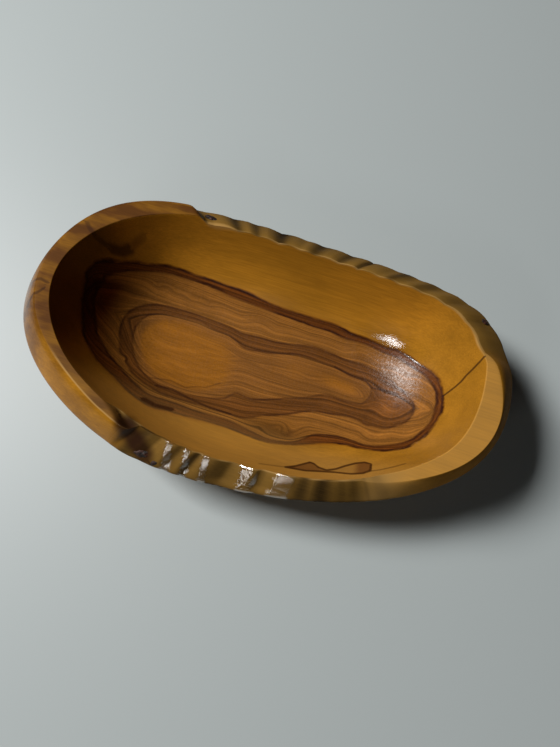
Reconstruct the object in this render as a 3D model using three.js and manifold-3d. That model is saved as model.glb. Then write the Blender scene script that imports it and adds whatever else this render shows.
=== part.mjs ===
// Rustic bowl carved from half an olive log. The hollow is a deep oval, the two end rims are planed
// flat, and the skin of the log is left as a rippled, sloping rim along both long sides.
// Millimetres. +X runs along the bowl, +Y across it to the rear, +Z up. The origin is the middle of
// the foot. Sections are taken at a section angle, in degrees: 0 is the right end and 90 the rear.
import * as THREE from 'three';
import Module from 'manifold-3d';
import { mergeVertices } from 'three/addons/utils/BufferGeometryUtils.js';

// Overall sizes
const LENGTH = 248;
const WIDTH = 138;
const HEIGHT = 55;
const FLOOR_THICKNESS = 11;
const FOOT_LENGTH = 142;
const FOOT_WIDTH = 66;

// Rim, measured level from the widest line of the wall in to the mouth
const RIM_LEFT = 17;
const RIM_RIGHT = 17.5;
const RIM_REAR = 12;
const RIM_FRONT = 12;
const CORNER_LEFT_SWELL = 2.6; // by how much the rim is wider at the two front corners
const CORNER_LEFT_AT = 240;
const CORNER_LEFT_SPAN = 18;
const CORNER_RIGHT_SWELL = 3;
const CORNER_RIGHT_AT = 322;
const CORNER_RIGHT_SPAN = 13;
const SHOULDER_LEFT = 8; // level run of the rounded shoulder outside the left flat, at its ends
const SHOULDER_LEFT_SWELL = 5.5; // how much more it has at its widest place
const SHOULDER_LEFT_SKEW = 3; // puts that place nearer to the front
const SHOULDER_RIGHT_FRONT = 6.5;
const SHOULDER_RIGHT_REAR = 4;
const SHOULDER_DROP_END = 13; // from the flat down to the widest line
const SHOULDER_DROP_REAR = 10.5;
const SHOULDER_DROP_FRONT = 8;
const EASED_EDGE = 0.8; // land left along the mouth where there is no flat

// Natural edge: the log's skin, between these section angles
const REAR_SKIN_FROM = 17;
const REAR_SKIN_TO = 113;
const FRONT_SKIN_FROM = 252;
const FRONT_SKIN_TO = 317;
const LEFT_JUNCTION_SPAN = 5; // degrees over which a flat runs out into the skin
const RIGHT_JUNCTION_SPAN = 12;
const JUNCTION_SLANT = 11; // degrees by which the front skin starts earlier along the mouth
const JUNCTION_SLANT_SPAN = 18; // degrees over which that slant grows and fades
const RIGHT_FLAT_FROM = 308; // the right flat starts as a sliver inside the skin
const LEFT_FLAT_SWELL = 0.12; // power of a flat's swell: the lower, the more abrupt its ends
const RIGHT_FLAT_SWELL = 0.6;
const SKIN_STEP = 4; // step down from a flat to the skin, where the bark came off
const REAR_SKIN_SAG = 2; // further drop of the mouth along the skin, as the log tapers
const FRONT_SKIN_SAG = 3;
const SAG_SKEW = 1.4; // puts the lowest place of the sag nearer to the left end
const RIPPLE_DEPTH = 1.2;
const RIPPLE_PITCH = 11.5;
const RIPPLE_DRIFT_PITCH = 47; // length over which the spacing of the ripples wanders
const RIPPLE_DRIFT = 0.9; // radians of the wave by which the spacing wanders
const RIPPLE_FADE_PITCH = 28; // length over which the ripples grow and fade
const RIPPLE_FADE = 0.25; // share of their depth by which they grow and fade
const RIPPLE_RUN_IN = 0.4; // share of the skin's slope over which they start

// Hand-carved plan: how much fuller than an ellipse the corners are, and how the oval is drawn
const FULLNESS = 0.105;
const FULLER_REAR = 0.122;
const FULLER_RIGHT = 0.051;
const FRONT_LEAN = -15; // shift of the front's widest point along X
const LEFT_END_SHIFT = 1.6; // shift of the end along Y
const RIGHT_END_SHIFT = 10.6;
const MOUTH_FULLNESS = 0.108;
const MOUTH_FULLER_REAR = 0.049;
const MOUTH_FULLER_RIGHT = 0.116;
const MOUTH_FRONT_LEAN = -8.5;
const MOUTH_LEFT_END_SHIFT = 5.3;
const MOUTH_RIGHT_END_SHIFT = 10.4;
const FLOOR_CENTRE_Y = 3;

// Section curves: powers of the distance from the middle
const HOLLOW_POWER_SIDE = 3.4;
const HOLLOW_POWER_END = 6;
const WALL_POWER = 1.8;
const SHOULDER_POWER = 1.3;

// Bark remnants, each seated in a socket in the skin
const BARK_GAP = 0.3;
const BARK_THICKNESS = 3.4;
const BARK_SINK = 0.9; // depth of a remnant's middle below the skin
const BARK_ROUGHNESS = 0.12; // share by which its outline wanders
const BARK_LOBES = 3;
const FRONT_BARK_LENGTH = 9;
const FRONT_BARK_WIDTH = 5.5;
const FRONT_CHIP_LENGTH = 4.6;
const FRONT_CHIP_WIDTH = 3.6;
const REAR_BARK_LENGTH = 8.5;
const REAR_BARK_WIDTH = 4.6;
const REAR_CHIP_LENGTH = 5;
const REAR_CHIP_WIDTH = 3.8;

// Fineness of the surfaces
const AROUND = 216;
const CROWDING = 0.3; // evens out the spacing of the sections round the oval
const WALL_STEPS = 6;
const SHOULDER_STEPS = 5;
const FLAT_STEPS = 5;
const HOLLOW_SHARES = [0.985, 0.96, 0.925, 0.88, 0.82, 0.75, 0.66, 0.54, 0.39, 0.2];
const BARK_SEGMENTS = 14;
const BARK_RINGS = 9;

const radians = THREE.MathUtils.degToRad;
const mix = THREE.MathUtils.lerp;
const step = THREE.MathUtils.smoothstep;

const wasm = await Module();
wasm.setup();

// One where the rim is the log's skin, zero where it is planed flat.
function skinShare(angle) {
  const left = LEFT_JUNCTION_SPAN / 2;
  const right = RIGHT_JUNCTION_SPAN / 2;
  const rear = step(angle, REAR_SKIN_FROM - right, REAR_SKIN_FROM + right)
    * (1 - step(angle, REAR_SKIN_TO - left, REAR_SKIN_TO + left));
  const front = step(angle, FRONT_SKIN_FROM - left, FRONT_SKIN_FROM + left)
    * (1 - step(angle, FRONT_SKIN_TO - right, FRONT_SKIN_TO + right));
  return rear + front;
}

// Height of the mouth: level with the flats at the ends, and sagging along the skin.
function mouthHeight(angle) {
  const rear = (angle - REAR_SKIN_FROM) / (REAR_SKIN_TO - REAR_SKIN_FROM);
  const front = (FRONT_SKIN_TO - angle) / (FRONT_SKIN_TO - FRONT_SKIN_FROM);
  const sag = (share) => (
    share > 0 && share < 1 ? Math.sin(Math.PI * share ** SAG_SKEW) ** 2 : 0
  );
  return HEIGHT - SKIN_STEP * skinShare(angle) - REAR_SKIN_SAG * sag(rear) - FRONT_SKIN_SAG * sag(front);
}

// Height of the widest line, where the shoulder or the skin meets the wall.
function edgeHeight(angle) {
  const sideDrop = angle < 180 ? SHOULDER_DROP_REAR : SHOULDER_DROP_FRONT;
  return mouthHeight(angle) - mix(SHOULDER_DROP_END, sideDrop, skinShare(angle));
}

const WALL_TOP = HEIGHT - SHOULDER_DROP_END;
const FLOOR_CENTRE = new THREE.Vector2(0, FLOOR_CENTRE_Y);
const REAR = 90;
const FRONT = 270;

// Share of the way from the foot out to the top of the wall, at a height.
const wallShare = (height) => (height / WALL_TOP) ** (1 / WALL_POWER);

// Share of the way from the middle of the floor out to the mouth, at a height.
const hollowShare = (height, power) => (
  ((height - FLOOR_THICKNESS) / (HEIGHT - FLOOR_THICKNESS)) ** (1 / power)
);

// A hand-drawn oval at one section angle. The shape names its two half lengths, its two half widths,
// the extra fullness of its corners, the lean of its front and the shifts of its ends.
function ovalPoint(shape, angle) {
  const c = Math.cos(radians(angle));
  const s = Math.sin(radians(angle));
  const fullness = shape.fullness + shape.fullerRear * s + shape.fullerRight * c;
  const halfLength = c < 0 ? shape.left : shape.right;
  const halfWidth = s < 0 ? shape.front : shape.rear;
  const endShift = mix(shape.leftShift, shape.rightShift, (1 + c) / 2);
  return new THREE.Vector2(
    halfLength * c * (1 + fullness * s * s) + shape.lean * s * s * (1 - s) / 2,
    halfWidth * s * (1 + fullness * c * c) + endShift * c * c,
  );
}

// The wall is carved on up to this oval, and the skin cuts it off lower down on the long sides,
// where it has the bowl's width.
const carvedHalfWidth = (angle) => (
  FOOT_WIDTH / 2 + (WIDTH - FOOT_WIDTH) / 2 / wallShare(edgeHeight(angle))
);
const OUTLINE = {
  left: LENGTH / 2,
  right: LENGTH / 2,
  rear: carvedHalfWidth(REAR),
  front: carvedHalfWidth(FRONT),
  fullness: FULLNESS,
  fullerRear: FULLER_REAR,
  fullerRight: FULLER_RIGHT,
  lean: FRONT_LEAN,
  leftShift: LEFT_END_SHIFT,
  rightShift: RIGHT_END_SHIFT,
};

// The hollow at the level of the flats. On the long sides it ends lower down, at the skin, where it
// leaves the rims their widths.
const skinReach = (reach, angle) => reach / hollowShare(mouthHeight(angle), HOLLOW_POWER_SIDE);
const MOUTH = {
  left: LENGTH / 2 - RIM_LEFT,
  right: LENGTH / 2 - RIM_RIGHT,
  rear: skinReach(WIDTH / 2 - RIM_REAR - FLOOR_CENTRE_Y, REAR) + FLOOR_CENTRE_Y,
  front: skinReach(WIDTH / 2 - RIM_FRONT + FLOOR_CENTRE_Y, FRONT) - FLOOR_CENTRE_Y,
  fullness: MOUTH_FULLNESS,
  fullerRear: MOUTH_FULLER_REAR,
  fullerRight: MOUTH_FULLER_RIGHT,
  lean: MOUTH_FRONT_LEAN,
  leftShift: MOUTH_LEFT_END_SHIFT,
  rightShift: MOUTH_RIGHT_END_SHIFT,
};

function footPoint(angle) {
  const c = Math.cos(radians(angle));
  const s = Math.sin(radians(angle));
  return new THREE.Vector2(FOOT_LENGTH / 2 * c, FOOT_WIDTH / 2 * s);
}

// The carved wall, at a section angle and a height.
const wallPoint = (angle, height) => (
  footPoint(angle).lerp(ovalPoint(OUTLINE, angle), wallShare(height))
);

// The hollow's walls are steeper for their reach at the ends, so its curve has a higher power there.
const hollowPower = (angle) => (
  mix(HOLLOW_POWER_SIDE, HOLLOW_POWER_END, Math.cos(radians(angle)) ** 2)
);

// The mouth at the level of the flats, drawn in a little where the rim is wider at the front corners.
function mouthPoint(angle) {
  const bulge = (swell, at, span) => swell * Math.exp(-(((angle - at) / span) ** 2));
  const drawnIn = bulge(CORNER_LEFT_SWELL, CORNER_LEFT_AT, CORNER_LEFT_SPAN)
    + bulge(CORNER_RIGHT_SWELL, CORNER_RIGHT_AT, CORNER_RIGHT_SPAN);
  const oval = ovalPoint(MOUTH, angle);
  return oval.lerp(FLOOR_CENTRE, drawnIn / oval.distanceTo(FLOOR_CENTRE));
}

// The hollow, at a section angle and a height.
const hollowPoint = (angle, height) => (
  FLOOR_CENTRE.clone().lerp(mouthPoint(angle), hollowShare(height, hollowPower(angle)))
);

// Width of the flat inside the ridge: it swells from each junction to the middle of its end.
function flatWidth(angle, rim) {
  const swell = (share, power) => (
    share > 0 && share < 1 ? Math.sin(Math.PI * share) ** power : 0
  );
  const alongLeft = (angle - REAR_SKIN_TO) / (FRONT_SKIN_FROM - REAR_SKIN_TO);
  const rightTurn = angle < REAR ? angle + 360 : angle;
  const alongRight = (rightTurn - RIGHT_FLAT_FROM) / (360 + REAR_SKIN_FROM - RIGHT_FLAT_FROM);
  const leftShoulder = SHOULDER_LEFT + SHOULDER_LEFT_SWELL * swell(alongLeft ** SHOULDER_LEFT_SKEW, 1);
  const leftRoom = rim - leftShoulder - EASED_EDGE;
  const rightRoom = rim - mix(SHOULDER_RIGHT_FRONT, SHOULDER_RIGHT_REAR, alongRight) - EASED_EDGE;
  return swell(alongLeft, LEFT_FLAT_SWELL) * leftRoom + swell(alongRight, RIGHT_FLAT_SWELL) * rightRoom;
}

// The section angle whose height the mouth has: the front skin's first end is cut at a slant.
function mouthTurn(angle) {
  const away = (angle - FRONT_SKIN_FROM + JUNCTION_SLANT / 2) / JUNCTION_SLANT_SPAN;
  return angle + JUNCTION_SLANT * Math.exp(-away * away);
}

// Depth of the ripples that run across the skin, at a place along the log.
function ripple(x) {
  const drift = RIPPLE_DRIFT * Math.sin(2 * Math.PI * x / RIPPLE_DRIFT_PITCH);
  const wave = Math.sin(2 * Math.PI * x / RIPPLE_PITCH + drift);
  const fade = RIPPLE_FADE * (1 - Math.cos(2 * Math.PI * x / RIPPLE_FADE_PITCH));
  return RIPPLE_DEPTH * (1 - fade) * (1 - wave) / 2;
}

// Height of the rim at a share of the way from the ridge in to the mouth.
function flatHeight(angle, depth, share) {
  const turn = mix(angle, mouthTurn(angle), share);
  return mouthHeight(turn) - skinShare(turn) * depth;
}

// The lines that a section passes through on the rim: widest line, ridge and mouth.
function rimLines(angle) {
  const depth = ripple(ovalPoint(MOUTH, angle).x);
  const worn = skinShare(angle) * depth;
  const top = mouthHeight(angle);
  const edge = edgeHeight(angle);
  const brim = flatHeight(angle, depth, 1);
  const widest = wallPoint(angle, edge);
  const mouth = hollowPoint(angle, brim);
  const rim = widest.distanceTo(mouth);
  const ridge = mouth.clone().lerp(widest, (EASED_EDGE + flatWidth(angle, rim)) / rim);
  return { widest, ridge, mouth, depth, worn, top, edge, brim };
}

const level = (plan, z) => new THREE.Vector3(plan.x, plan.y, z);

// A point on the shoulder or skin, at a share of the way from the widest line up to the ridge.
function shoulderPoint(lines, share) {
  const plan = lines.widest.clone().lerp(lines.ridge, share);
  const rise = 1 - (1 - share) ** SHOULDER_POWER;
  const worn = lines.worn * step(share, 0, RIPPLE_RUN_IN);
  return level(plan, mix(lines.edge, lines.top, rise) - worn);
}

// Points of one section, from the edge of the foot out, up, over the rim and in to the floor.
function sectionPoints(angle) {
  const lines = rimLines(angle);
  const power = hollowPower(angle);
  const points = [];
  for (let i = 0; i < WALL_STEPS; i += 1) {
    const height = lines.edge * (i / WALL_STEPS) ** WALL_POWER;
    points.push(level(wallPoint(angle, height), height));
  }
  for (let i = 0; i <= SHOULDER_STEPS; i += 1) {
    points.push(shoulderPoint(lines, i / SHOULDER_STEPS));
  }
  for (let i = 1; i <= FLAT_STEPS; i += 1) {
    const share = i / FLAT_STEPS;
    points.push(level(lines.ridge.clone().lerp(lines.mouth, share), flatHeight(angle, lines.depth, share)));
  }
  for (const share of HOLLOW_SHARES) {
    const height = mix(FLOOR_THICKNESS, lines.brim, share ** power);
    points.push(level(hollowPoint(angle, height), height));
  }
  return points;
}

// A closed skin over rings of points, with a pole under the first ring and one over the last.
function loftGeometry(sections, firstPole, lastPole) {
  const around = sections.length;
  const rings = sections[0].length;
  const positions = sections.flat().flatMap((p) => [p.x, p.y, p.z]);
  const first = positions.length / 3;
  positions.push(firstPole.x, firstPole.y, firstPole.z, lastPole.x, lastPole.y, lastPole.z);
  const index = [];
  for (let k = 0; k < around; k += 1) {
    const here = k * rings;
    const next = ((k + 1) % around) * rings;
    index.push(first, next, here);
    for (let i = 0; i + 1 < rings; i += 1) {
      index.push(here + i, next + i, next + i + 1);
      index.push(here + i, next + i + 1, here + i + 1);
    }
    index.push(first + 1, here + rings - 1, next + rings - 1);
  }
  const geometry = new THREE.BufferGeometry();
  geometry.setAttribute('position', new THREE.Float32BufferAttribute(positions, 3));
  geometry.setIndex(index);
  return geometry;
}

function bowlGeometry() {
  const sections = [];
  for (let k = 0; k < AROUND; k += 1) {
    const turn = 360 * k / AROUND;
    const even = turn + THREE.MathUtils.radToDeg(CROWDING / 2 * Math.sin(radians(2 * turn)));
    sections.push(sectionPoints(even));
  }
  const underside = new THREE.Vector3(0, 0, 0);
  const floor = new THREE.Vector3(0, FLOOR_CENTRE_Y, FLOOR_THICKNESS);
  return loftGeometry(sections, underside, floor);
}

function toSolid(geometry) {
  const bare = geometry.clone();
  bare.deleteAttribute('normal');
  bare.deleteAttribute('uv');
  const merged = mergeVertices(bare);
  return new wasm.Manifold(new wasm.Mesh({
    numProp: 3,
    vertProperties: new Float32Array(merged.attributes.position.array),
    triVerts: new Uint32Array(merged.index.array),
  }));
}

function toGeometry(solid) {
  const mesh = solid.getMesh();
  const geometry = new THREE.BufferGeometry();
  geometry.setAttribute('position', new THREE.Float32BufferAttribute(mesh.vertProperties, 3));
  geometry.setIndex(Array.from(mesh.triVerts));
  geometry.computeVertexNormals();
  return geometry;
}

// A lens of bark on the skin at a section angle and a share of the way up it. The allowance
// thickens it on every side, for the socket that it sits in.
function barkGeometry(length, width, angle, share, allowance) {
  const lines = rimLines(angle);
  const seat = shoulderPoint(lines, share);
  const ahead = shoulderPoint(rimLines(angle + 1), share);
  const along = ahead.sub(seat).normalize();
  const upslope = level(lines.ridge, lines.top).sub(level(lines.widest, lines.edge)).normalize();
  const outward = along.clone().cross(upslope).normalize();
  const lens = new THREE.SphereGeometry(1, BARK_SEGMENTS, BARK_RINGS);
  const place = lens.attributes.position;
  for (let i = 0; i < place.count; i += 1) {
    const turn = Math.atan2(place.getY(i), place.getX(i));
    const wander = 1 + BARK_ROUGHNESS * Math.sin(BARK_LOBES * turn + length) * (1 - place.getZ(i) ** 2);
    place.setXY(i, place.getX(i) * wander, place.getY(i) * wander);
  }
  lens.scale(length / 2 + allowance, width / 2 + allowance, BARK_THICKNESS / 2 + allowance);
  lens.applyMatrix4(new THREE.Matrix4().makeBasis(along, upslope, outward));
  const middle = seat.addScaledVector(outward, -BARK_SINK);
  lens.translate(middle.x, middle.y, middle.z);
  return lens;
}

// Each remnant with its section angle and its share of the way up the skin.
const BARK = [
  { name: 'bark_front_left', length: FRONT_BARK_LENGTH, width: FRONT_BARK_WIDTH, angle: 259, share: 0.25 },
  { name: 'bark_front_chip', length: FRONT_CHIP_LENGTH, width: FRONT_CHIP_WIDTH, angle: 262.8, share: 0.15 },
  { name: 'bark_rear_left', length: REAR_BARK_LENGTH, width: REAR_BARK_WIDTH, angle: 111, share: 0.6 },
  { name: 'bark_rear_right', length: REAR_CHIP_LENGTH, width: REAR_CHIP_WIDTH, angle: 36, share: 0.25 },
];

function bowlMesh() {
  let solid = toSolid(bowlGeometry());
  for (const { length, width, angle, share } of BARK) {
    solid = solid.subtract(toSolid(barkGeometry(length, width, angle, share, BARK_GAP)));
  }
  const oiledWood = new THREE.MeshStandardMaterial({ color: '#a8752e', roughness: 0.32, metalness: 0 });
  const mesh = new THREE.Mesh(toGeometry(solid), oiledWood);
  mesh.name = 'bowl_body';
  return mesh;
}

function barkMesh({ name, length, width, angle, share }) {
  const bark = new THREE.MeshStandardMaterial({ color: '#2c1a12', roughness: 0.85, metalness: 0 });
  const geometry = toGeometry(toSolid(barkGeometry(length, width, angle, share, 0)));
  const mesh = new THREE.Mesh(geometry, bark);
  mesh.name = name;
  return mesh;
}

const bowl = new THREE.Group();
bowl.add(bowlMesh());
for (const remnant of BARK) {
  bowl.add(barkMesh(remnant));
}

export default bowl;
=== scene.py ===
"""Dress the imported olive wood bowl: oiled, figured wood with a natural edge, and remnants of bark."""

import logging
from collections.abc import Callable, Sequence
from dataclasses import dataclass, field
from enum import Enum
from functools import partial

import bmesh
import bpy
import numpy as np
from mathutils import Matrix, Quaternion, Vector, noise


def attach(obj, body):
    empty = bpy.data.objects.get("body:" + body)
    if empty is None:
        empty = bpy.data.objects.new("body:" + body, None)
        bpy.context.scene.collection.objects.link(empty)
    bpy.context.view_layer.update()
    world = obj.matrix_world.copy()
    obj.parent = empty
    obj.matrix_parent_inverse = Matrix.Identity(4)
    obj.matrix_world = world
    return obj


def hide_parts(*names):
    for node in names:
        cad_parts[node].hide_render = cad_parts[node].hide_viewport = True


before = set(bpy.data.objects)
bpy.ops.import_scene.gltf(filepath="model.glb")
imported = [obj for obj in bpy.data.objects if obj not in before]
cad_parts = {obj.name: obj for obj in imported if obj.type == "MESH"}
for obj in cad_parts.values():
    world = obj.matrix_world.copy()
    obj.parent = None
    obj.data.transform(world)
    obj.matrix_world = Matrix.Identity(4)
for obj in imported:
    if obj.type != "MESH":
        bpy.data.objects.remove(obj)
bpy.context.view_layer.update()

MM = 0.001
BODY = "root"
LAYERS = (
    "figure", "pitch", "skin", "stain", "lip_and_sheen", "tone", "brown", "line_side", "line_near", "line_dark",
    "lens", "lens_fill", "gloss", "varnish",
)
log = logging.getLogger("olive_wood_bowl")

Point = tuple[float, float]
Span = tuple[float, float]
Triple = tuple[float, float, float]
Colour = tuple[float, float, float, float]
Stops = list[tuple[float, Colour]]
Socket = bpy.types.NodeSocket
Layers = dict[str, np.ndarray]


class Slot(Enum):
    """Material slots of the record."""

    WOOD = "oiled_olive_wood"
    BARK = "bark"


class Zone(Enum):
    """Stretches of a section from the middle of the foot over the rim to the floor, with their steps."""

    FOOT = 6
    WALL = 26
    SHOULDER = 30
    FLAT = 20
    HOLLOW = 122


def linear(hex_colour: str) -> Colour:
    """Turn an sRGB hex colour into linear light.

    Args:
        hex_colour: Six hex digits, with or without a leading hash.

    Returns:
        Linear red, green and blue, and an alpha of one.
    """
    digits = hex_colour.lstrip("#")
    shares = [int(digits[i:i + 2], 16) / 255 for i in (0, 2, 4)]
    light = [s / 12.92 if s <= 0.04045 else ((s + 0.055) / 1.055) ** 2.4 for s in shares]
    return light[0], light[1], light[2], 1.0


def smoothstep(value: np.ndarray, low: float, high: float) -> np.ndarray:
    """Ease between two values.

    Args:
        value: Values to ease.
        low: Value that gives zero.
        high: Value that gives one, above or below the other.

    Returns:
        Shares from zero to one.
    """
    share = np.clip((value - low) / (high - low), 0, 1)
    return share * share * (3 - 2 * share)


def crowd(steps: int, amount: float = 0.85) -> np.ndarray:
    """Shares from zero to one that crowd towards both ends.

    Args:
        steps: Number of steps.
        amount: Zero for even steps, up to one for the most crowding.

    Returns:
        The shares, one more than the steps.
    """
    share = np.linspace(0, 1, steps + 1)
    return share - amount * np.sin(2 * np.pi * share) / (2 * np.pi)


def stack(plan: np.ndarray, height: np.ndarray | float, skin: np.ndarray | float = 0.0) -> np.ndarray:
    """Put plan places, their heights and their share of natural skin together in the last axis."""
    return np.stack(np.broadcast_arrays(plan[..., 0], plan[..., 1], height, skin), -1)


def nearest_line(plan: np.ndarray, points: Sequence[Point]) -> tuple[np.ndarray, np.ndarray]:
    """Distance in plan from each place to a line through the points, and the side that it lies on.

    Args:
        plan: Places, with x and y in the last axis.
        points: Corners of the line.

    Returns:
        The distances, and the same with a sign that tells the sides apart.
    """
    nearest = np.full(plan.shape[:-1], np.inf)
    signed = nearest.copy()
    corners = np.array(points, float)
    for start, end in zip(corners[:-1], corners[1:]):
        run = end - start
        offset = plan - start
        share = np.clip((offset @ run) / (run @ run), 0, 1)
        gap = np.linalg.norm(offset - share[..., None] * run, axis=-1)
        side = np.sign(run[0] * offset[..., 1] - run[1] * offset[..., 0])
        signed = np.where(gap < nearest, gap * side, signed)
        nearest = np.minimum(nearest, gap)
    return nearest, signed


def smooth_loop(points: Sequence[Point], pitch: float) -> np.ndarray:
    """A smooth closed line through the points.

    Args:
        points: Places that the line passes through.
        pitch: About how far apart its own places are.

    Returns:
        Places on the line.
    """
    corners = np.array(points, float)
    places = []
    for i in range(len(corners)):
        a, b, c, d = (corners[(i + k - 1) % len(corners)] for k in range(4))
        steps = max(1, round(float(np.linalg.norm(c - b)) / pitch))
        for t in np.arange(steps) / steps:
            bend = (2 * a - 5 * b + 4 * c - d) * t * t + (3 * b - a - 3 * c + d) * t ** 3
            places.append(b + ((c - a) * t + bend) / 2)
    return np.array(places)


def inside_outline(plan: np.ndarray, points: Sequence[Point]) -> np.ndarray:
    """Tell which places lie inside a closed outline.

    Args:
        plan: Places, with x and y in the last axis.
        points: Corners of the outline.

    Returns:
        True where a place is inside.
    """
    inside = np.zeros(plan.shape[:-1], bool)
    corners = np.array(points, float)
    x, y = plan[..., 0], plan[..., 1]
    for (ax, ay), (bx, by) in zip(corners, np.roll(corners, -1, axis=0)):
        if ay != by:
            crossing = ax + (y - ay) / (by - ay) * (bx - ax)
            inside ^= ((ay > y) != (by > y)) & (x < crossing)
    return inside


def set_inputs(tree: bpy.types.NodeTree, node: bpy.types.Node, inputs: tuple | dict) -> None:
    """Set or link inputs of a node.

    Args:
        tree: Node tree of the node.
        node: Node to set.
        inputs: A value or a socket to link for each input in use, in their order or by name.
    """
    used = [socket for socket in node.inputs if socket.enabled]
    if isinstance(inputs, dict):
        named = {socket.name: socket for socket in used}
        pairs = [(named[name], value) for name, value in inputs.items()]
    else:
        pairs = list(zip(used, inputs))
    for socket, value in pairs:
        if isinstance(value, Socket):
            tree.links.new(value, socket)
        else:
            socket.default_value = value


def add_node(
    tree: bpy.types.NodeTree,
    kind: str,
    inputs: tuple | dict = (),
    stops: Stops | None = None,
    output: str = "",
    **settings: str | bool,
) -> Socket:
    """Add a shader node with its settings and links.

    Args:
        tree: Node tree that gets the node.
        kind: Type of the node, without the prefix that all have.
        inputs: A value or a socket to link for each input in use, in their order or by name.
        stops: Places and colours of a colour ramp.
        output: Name of the wanted output, where it isn't the first one in use.
        settings: Properties to set on the node.

    Returns:
        The output.
    """
    node = tree.nodes.new(f"ShaderNode{kind}")
    for name, value in settings.items():
        setattr(node, name, value)
    set_inputs(tree, node, inputs)
    for place, colour in stops or ():
        node.color_ramp.elements.new(place).color = colour
    if stops:
        node.color_ramp.elements.remove(node.color_ramp.elements[0])
        node.color_ramp.elements.remove(node.color_ramp.elements[-1])
    return node.outputs[output] if output else next(socket for socket in node.outputs if socket.enabled)


def new_material(name: str) -> tuple[bpy.types.Material, bpy.types.NodeTree, bpy.types.Node]:
    """Start a material.

    Args:
        name: Common name of the real material.

    Returns:
        The material, its node tree and its shader.
    """
    made = bpy.data.materials.new(name)
    made.use_nodes = True
    return made, made.node_tree, made.node_tree.nodes["Principled BSDF"]


def add_piece(
    name: str, mesh: bmesh.types.BMesh, material: bpy.types.Material, node: str
) -> bpy.types.Object:
    """Finish a piece that stands for a node of the frame.

    Args:
        name: Name of the piece.
        mesh: Its closed mesh, which is used up.
        material: Its finish.
        node: Node that it replaces.

    Returns:
        The object, riding on its body.
    """
    bmesh.ops.recalc_face_normals(mesh, faces=mesh.faces)
    for face in mesh.faces:
        face.smooth = True
    data = bpy.data.meshes.new(name)
    mesh.to_mesh(data)
    mesh.free()
    data.materials.append(material)
    piece = bpy.data.objects.new(name, data)
    bpy.context.scene.collection.objects.link(piece)
    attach(piece, BODY)
    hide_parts(node)
    return piece


@dataclass(frozen=True)
class Groove:
    """A groove across the natural edge, with its runs to both sides, in millimetres along the log."""

    place: float
    depth: float
    left_run: float
    right_run: float


@dataclass(frozen=True)
class Stain:
    """A dark stain across the natural edge, in millimetres along the log."""

    place: float
    half_width: float
    strength: float


@dataclass(frozen=True)
class OilRun:
    """A stretch of the front natural edge where the oil has dried glossy, in millimetres along the log."""

    start: float
    end: float
    lean: float = 0.0


@dataclass(frozen=True)
class GrowthLine:
    """A dark line in the wood, in plan millimetres, with how dark it is."""

    points: list[Point]
    half_width: float
    strength: float


@dataclass(frozen=True)
class CornerSwell:
    """A front corner where the rim is wider: by how much, at which section angle, and over which span."""

    swell: float
    turn: float
    span: float


@dataclass(frozen=True)
class SoftPatch:
    """A patch in plan that fades out all round, in millimetres, turned in degrees."""

    middle: Point
    half_length: float
    half_width: float
    turn: float = 0.0
    strength: float = 1.0

    def at(self, place: np.ndarray) -> np.ndarray:
        """Strength of the patch at places.

        Args:
            place: Places, with x and y first in the last axis.

        Returns:
            The strength, full in the middle of the patch.
        """
        x, y = place[..., 0] - self.middle[0], place[..., 1] - self.middle[1]
        c, s = np.cos(np.radians(self.turn)), np.sin(np.radians(self.turn))
        along, across = c * x + s * y, c * y - s * x
        return self.strength * np.exp(-(along / self.half_length) ** 2 - (across / self.half_width) ** 2)


@dataclass(frozen=True)
class OvalPlan:
    """A hand-drawn oval in plan, in millimetres."""

    left: float
    right: float
    rear: float
    front: float
    fullness: float
    fuller_rear: float
    fuller_right: float
    front_lean: float
    left_shift: float
    right_shift: float

    def at(self, turn: np.ndarray) -> np.ndarray:
        """Places on the oval.

        Args:
            turn: Section angles in degrees, 0 at the right end and 90 at the rear.

        Returns:
            Their plan places.
        """
        c, s = np.cos(np.radians(turn)), np.sin(np.radians(turn))
        fullness = self.fullness + self.fuller_rear * s + self.fuller_right * c
        half_length = np.where(c < 0, self.left, self.right)
        half_width = np.where(s < 0, self.front, self.rear)
        shift = self.left_shift + (self.right_shift - self.left_shift) * (1 + c) / 2
        x = half_length * c * (1 + fullness * s * s) + self.front_lean * s * s * (1 - s) / 2
        y = half_width * s * (1 + fullness * c * c) + shift * c * c
        return np.stack([x, y], -1)


@dataclass
class RimLines:
    """The lines that the sections pass through on the rim, per section angle."""

    widest: np.ndarray
    ridge: np.ndarray
    mouth: np.ndarray
    top: np.ndarray
    edge: np.ndarray
    brim: np.ndarray
    worn: np.ndarray


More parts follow.
